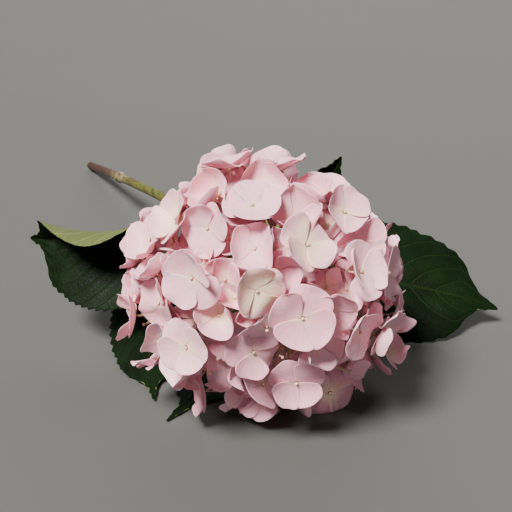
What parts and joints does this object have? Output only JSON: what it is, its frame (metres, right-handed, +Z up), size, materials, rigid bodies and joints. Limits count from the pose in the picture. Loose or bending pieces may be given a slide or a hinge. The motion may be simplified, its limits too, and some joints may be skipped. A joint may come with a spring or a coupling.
{
  "type": "cut hydrangea",
  "caption": "Cut mophead hydrangea lying on its side: a round head of blush-pink florets on a bare woody stem with large toothed dark-green leaves.",
  "frame": {"origin": "bottom centre of the bounding box, on the surface that the flower lies on", "axes": "+Y runs along the stem from the flower head to the cut end, +Z is up, +X is to the right seen from the head's front"},
  "size_m": [0.3032, 0.5358, 0.1676],
  "materials": {
    "sepals": "soft matte petal, pale blush pink with a creamy centre, faint radiating veins",
    "flower_stalks": "pale yellow-green, faintly pink, matte",
    "leaf": "dark green, semi-gloss, impressed veins; paler matte underside",
    "stem": "olive green near the head, turning to reddish-brown bark with small specks towards the cut end"
  },
  "bodies": {
    "root": {"floret_sprig_01": "sepals", "floret_sprig_02": "sepals", "floret_sprig_03": "sepals", "floret_sprig_04": "sepals", "floret_sprig_05": "sepals", "floret_sprig_06": "sepals", "floret_sprig_07": "sepals", "floret_sprig_08": "sepals", "floret_sprig_09": "sepals", "floret_sprig_10": "sepals", "floret_sprig_11": "sepals", "floret_sprig_12": "sepals", "floret_sprig_13": "sepals", "floret_sprig_14": "sepals", "floret_sprig_15": "sepals", "floret_sprig_16": "sepals", "floret_sprig_17": "sepals", "floret_sprig_18": "sepals", "floret_sprig_19": "sepals", "floret_sprig_20": "sepals", "floret_sprig_21": "sepals", "floret_sprig_22": "sepals", "floret_sprig_23": "sepals", "floret_sprig_24": "sepals", "floret_sprig_25": "sepals", "floret_sprig_26": "sepals", "floret_sprig_27": "sepals", "floret_sprig_28": "sepals", "floret_sprig_29": "sepals", "floret_sprig_30": "sepals", "floret_sprig_31": "sepals", "floret_sprig_32": "sepals", "floret_sprig_33": "sepals", "floret_sprig_34": "sepals", "floret_sprig_35": "sepals", "floret_sprig_36": "sepals", "floret_sprig_37": "sepals", "floret_sprig_38": "sepals", "floret_sprig_39": "sepals", "floret_sprig_40": "sepals", "floret_sprig_41": "sepals", "floret_sprig_42": "sepals", "floret_sprig_43": "sepals", "floret_sprig_44": "sepals", "floret_sprig_45": "sepals", "floret_sprig_46": "sepals", "floret_sprig_47": "sepals", "flower_branches": "flower_stalks", "leaf_left": "leaf", "leaf_rear": "leaf", "leaf_right": "leaf", "leaf_side": "leaf", "leaf_under": "leaf", "stem": "stem"}
  },
  "joints": []
}
